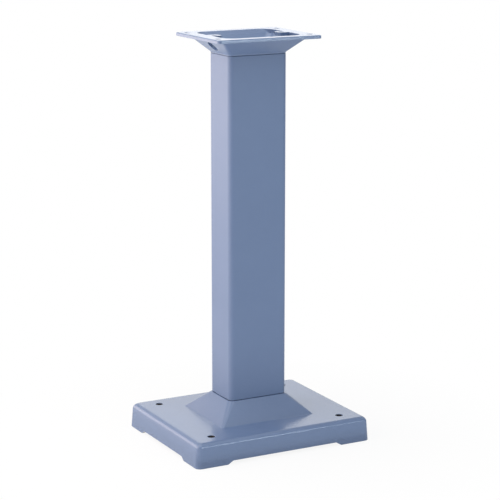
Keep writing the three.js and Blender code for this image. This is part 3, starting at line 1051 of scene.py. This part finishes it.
class STAND_OT_tie_rods(bpy.types.Operator):
    """Long rods with a thread at both ends"""

    bl_idname = "stand.tie_rods"
    bl_label = "Tie rods"

    def profile(self, clamp, rows_per_turn, radius, low, high):
        """Rings up the rod, with radii that follow the thread's helix at both ends."""
        root = radius - clamp.thread_depth
        rise = clamp.thread_pitch / rows_per_turn
        rows = int(clamp.thread_length / rise)

        def thread(z):
            def at_angle(angle):
                turn = (z / clamp.thread_pitch - angle / math.tau) % 1.0
                return root + clamp.thread_depth * (1 - abs(2 * turn - 1)) ** clamp.thread_crest
            return at_angle

        rings = [(root - clamp.thread_depth, low)]
        for row in range(1, rows):
            z = low + row * rise
            rings.append((thread(z), z))
        rings.append((radius, low + rows * rise))
        upper = [(thread(low + high - z) if callable(size) else size, low + high - z)
                 for size, z in reversed(rings)]
        return rings + upper

    def execute(self, context):
        clamp, rows_per_turn = context.scene.stand_clamp, context.scene.stand_detail.thread_rows
        for node, low, high in boxes_of("tie_rod"):
            profile = self.profile(clamp, rows_per_turn, (high.x - low.x) / 2, low.z, high.z)
            seat_steel(turned(node, profile), node, low, high)
        return {"FINISHED"}


class STAND_OT_nuts(bpy.types.Operator):
    """Hexagon nuts with both ends chamfered"""

    bl_idname = "stand.nuts"
    bl_label = "Nuts"

    def profile(self, clamp, lip, flat, low, high):
        """Section of a nut, with radii and chamfers that follow the hexagon."""
        # Half the play that a washer has round the rod
        play = clamp.hole_clearance / 4
        bore = rod_diameter() / 2 + play
        face = flat * clamp.nut_face

        def hexagon(angle):
            return flat / math.cos((angle % (math.pi / 3)) - math.pi / 6)

        def chamfer(angle):
            return (hexagon(angle) - face) * math.tan(clamp.nut_chamfer)

        return [
            (bore, low + lip),
            (bore + lip, low),
            (face, low),
            (hexagon, lambda angle: low + chamfer(angle)),
            (hexagon, lambda angle: high - chamfer(angle)),
            (face, high),
            (bore + lip, high),
            (bore, high - lip),
        ]

    def execute(self, context):
        clamp, lip = context.scene.stand_clamp, context.scene.stand_detail.lip
        for node, low, high in boxes_of("head_nut", "base_nut"):
            profile = self.profile(clamp, lip, (high.y - low.y) / 2, low.z, high.z)
            seat_steel(turned(node, profile, closed=True), node, low, high)
        return {"FINISHED"}


class STAND_OT_washers(bpy.types.Operator):
    """Plain washers with eased edges"""

    bl_idname = "stand.washers"
    bl_label = "Plain washers"

    def execute(self, context):
        for node, low, high in boxes_of("head_washer", "base_washer"):
            section = washer_section((high.x - low.x) / 2, low.z, high.z)
            seat_steel(turned(node, section, closed=True), node, low, high)
        return {"FINISHED"}


class STAND_OT_lock_washers(bpy.types.Operator):
    """Split lock washers"""

    bl_idname = "stand.lock_washers"
    bl_label = "Lock washers"

    def execute(self, context):
        clamp, sides = context.scene.stand_clamp, context.scene.stand_detail.round_sides
        for node, low, high in boxes_of("head_lock", "base_lock"):
            radius = (high.y - low.y) / 2
            half_slit = clamp.washer_gap / (washer_bore() + radius)
            section = washer_section(radius, low.z, high.z)
            rows = []
            for side in range(sides + 1):
                angle = half_slit + (math.tau - 2 * half_slit) * side / sides
                rows.append([(r * math.cos(angle), r * math.sin(angle), z) for r, z in section])
            seat_steel(mesh_from_rows(node, rows, closed=False), node, low, high)
        return {"FINISHED"}


class STAND_OT_stage(bpy.types.Operator):
    """Camera, white floor and soft studio light"""

    bl_idname = "stand.stage"
    bl_label = "Stage"

    def camera(self, scene, studio):
        """Camera with a long lens and no depth of field."""
        data = bpy.data.cameras.new("camera")
        data.lens = studio.lens
        data.sensor_width = studio.sensor
        data.dof.use_dof = False
        camera = bpy.data.objects.new("camera", data)
        camera.location = studio.camera_place
        camera.rotation_euler = (math.pi / 2 - studio.camera_tilt, 0.0, -studio.camera_turn)
        scene.collection.objects.link(camera)
        scene.camera = camera

    def seen_rays(self, graph):
        """One for rays that show the background itself, straight or in a reflection."""
        kinds = ("Is Camera Ray", "Is Glossy Ray", "Is Transmission Ray")
        rays = [graph.node("ShaderNodeLightPath", output=kind) for kind in kinds]
        return graph.clamp(rays[0] + rays[1] + rays[2])

    def world(self, scene, studio):
        """Even dome that shows white but lights the stand less."""
        world = bpy.data.worlds.new("studio")
        graph = Graph(world)
        strength = studio.dome + self.seen_rays(graph) * (1.0 - studio.dome)
        light = graph.node("ShaderNodeBackground", None, {"Color": WHITE, "Strength": strength})
        graph.finish("ShaderNodeOutputWorld", light)
        scene.world = world

    def floor(self, studio):
        """Paper floor that shows white all round and keeps the stand's shadow."""
        mesh = bmesh.new()
        bmesh.ops.create_grid(mesh, x_segments=1, y_segments=1, size=studio.floor_half)
        floor = moved(object_from("floor", mesh), at(0.0, 0.0, -studio.floor_drop))
        material = bpy.data.materials.new("pale_floor")
        graph = Graph(material)
        paper = graph.node("ShaderNodeBsdfDiffuse", None, {"Color": opaque([studio.floor_grey] * 3)})
        glow = graph.node("ShaderNodeEmission", None, {"Color": WHITE, "Strength": 1.0})
        place = graph.node("ShaderNodeNewGeometry", output="Position")
        distance = graph.node("ShaderNodeVectorMath", {"operation": "LENGTH"}, {0: place}, "Value")
        rise = (1.0 - studio.floor_white) / (studio.white_reach - studio.white_from)
        white = graph.clamp(studio.floor_white + graph.clamp(distance - studio.white_from) * rise)
        axes = [graph.node("ShaderNodeSeparateXYZ", None, {0: place}, axis) for axis in ("X", "Y")]
        past = [
            graph.math("GREATER_THAN", graph.math("ABSOLUTE", axis, 0.0), half - studio.hidden_inset)
            for axis, half in zip(axes, (BASE_HIGH.x, BASE_HIGH.y))
        ]
        share = self.seen_rays(graph) * white * graph.math("MAXIMUM", *past)
        shader = graph.node("ShaderNodeMixShader", None, {0: share, 1: paper, 2: glow})
        graph.finish("ShaderNodeOutputMaterial", shader)
        floor.data.materials.append(material)

    def lamp(self, scene, studio, name, size, tint, aim):
        """Soft lamp that faces a point, or straight up if it has none."""
        place = Vector(getattr(studio, f"{name}_place"))
        ahead = Vector((0, 0, 1)) if aim is None else aim - place
        data = bpy.data.lights.new(f"{name}_lamp", "AREA")
        data.color = tint
        data.shape = "RECTANGLE"
        data.size, data.size_y = size
        data.energy = math.pi * size[0] * size[1] * getattr(studio, f"{name}_light")
        lamp = bpy.data.objects.new(f"{name}_lamp", data)
        lamp.location = place
        lamp.rotation_euler = ahead.to_track_quat("-Z", "Y").to_euler()
        lamp.visible_camera = False
        scene.collection.objects.link(lamp)

    def execute(self, context):
        scene = context.scene
        studio = scene.stand_studio
        scene.view_settings.view_transform = "Standard"
        self.camera(scene, studio)
        self.world(scene, studio)
        self.floor(studio)
        middle = (CAD_BOX[0] + CAD_BOX[1]) / 2
        square = (studio.lamp_size, studio.lamp_size)
        low_box = (studio.back_length, studio.back_width)
        strip = (studio.edge_length, studio.edge_width)
        lamps = (
            ("rear", square, studio.plain, middle),
            ("left", square, studio.warm, middle),
            ("over", square, studio.cool, middle),
            ("top", square, studio.plain, middle),
            ("back", low_box, studio.warm, middle),
            ("bounce", square, studio.cool, None),
            ("side", square, studio.warm, None),
            ("edge", strip, studio.cool, middle),
        )
        for name, size, tint, aim in lamps:
            self.lamp(scene, studio, name, size, tint, aim)
        return {"FINISHED"}


OPERATORS = (
    STAND_OT_stage,
    STAND_OT_base,
    STAND_OT_column,
    STAND_OT_head,
    STAND_OT_tie_rods,
    STAND_OT_nuts,
    STAND_OT_washers,
    STAND_OT_lock_washers,
)


class STAND_PT_panel(bpy.types.Panel):
    """Lists the stand's pieces and sizes"""

    bl_idname = "STAND_PT_panel"
    bl_label = "Bench grinder stand"
    bl_space_type = "VIEW_3D"
    bl_region_type = "UI"
    bl_category = "Stand"

    def draw(self, context):
        for operator in OPERATORS:
            self.layout.operator(operator.bl_idname)
        for name, group in GROUPS.items():
            box = self.layout.box()
            for prop in group.__annotations__:
                box.prop(getattr(context.scene, name), prop)


CLASSES = (*GROUPS.values(), *OPERATORS, STAND_PT_panel)


def register():
    for cls in CLASSES:
        bpy.utils.register_class(cls)
    for name, group in GROUPS.items():
        setattr(bpy.types.Scene, name, PointerProperty(type=group))


def unregister():
    for name in GROUPS:
        delattr(bpy.types.Scene, name)
    for cls in reversed(CLASSES):
        bpy.utils.unregister_class(cls)


def main():
    register()
    bpy.ops.stand.stage()
    bpy.ops.stand.base()
    bpy.ops.stand.column()
    bpy.ops.stand.head()
    bpy.ops.stand.tie_rods()
    bpy.ops.stand.nuts()
    bpy.ops.stand.washers()
    bpy.ops.stand.lock_washers()


if __name__ == "__main__":
    main()
